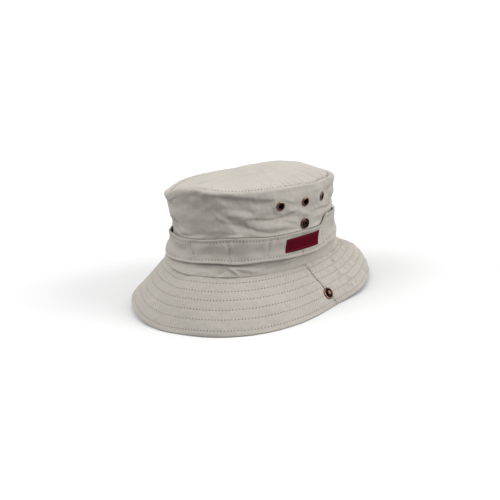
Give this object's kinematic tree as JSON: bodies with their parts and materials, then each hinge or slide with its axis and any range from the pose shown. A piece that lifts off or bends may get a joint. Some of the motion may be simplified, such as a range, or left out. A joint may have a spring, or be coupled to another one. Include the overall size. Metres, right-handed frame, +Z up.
{
  "type": "bush hat",
  "caption": "Soft cotton bush hat: low crown with a flat top panel, tacked hat band, side eyelets, stitched sloping brim and a snap to fasten it up each side.",
  "frame": {"origin": "centre of the hat's box in plan, on the surface that the brim's edge rests on", "axes": "+Z up, -Y the front of the hat, +X the wearer's left, which carries the label"},
  "size_m": [0.2293, 0.2855, 0.1392],
  "materials": {
    "cotton_drill": "matt stone-coloured cotton drill",
    "label_cloth": "dark red woven patch, no lettering",
    "coppered_metal": "antique copper plating, satin"
  },
  "bodies": {
    "root": {"crown_side": "cotton_drill", "crown_top": "cotton_drill", "hat_band": "cotton_drill", "brim_front": "cotton_drill", "brim_back": "cotton_drill", "label": "label_cloth", "eyelet_left_1": "coppered_metal", "eyelet_left_2": "coppered_metal", "eyelet_left_3": "coppered_metal", "eyelet_right_1": "coppered_metal", "eyelet_right_2": "coppered_metal", "eyelet_right_3": "coppered_metal", "snap_socket_left": "coppered_metal", "snap_stud_left": "coppered_metal", "snap_socket_right": "coppered_metal", "snap_stud_right": "coppered_metal"}
  },
  "joints": []
}
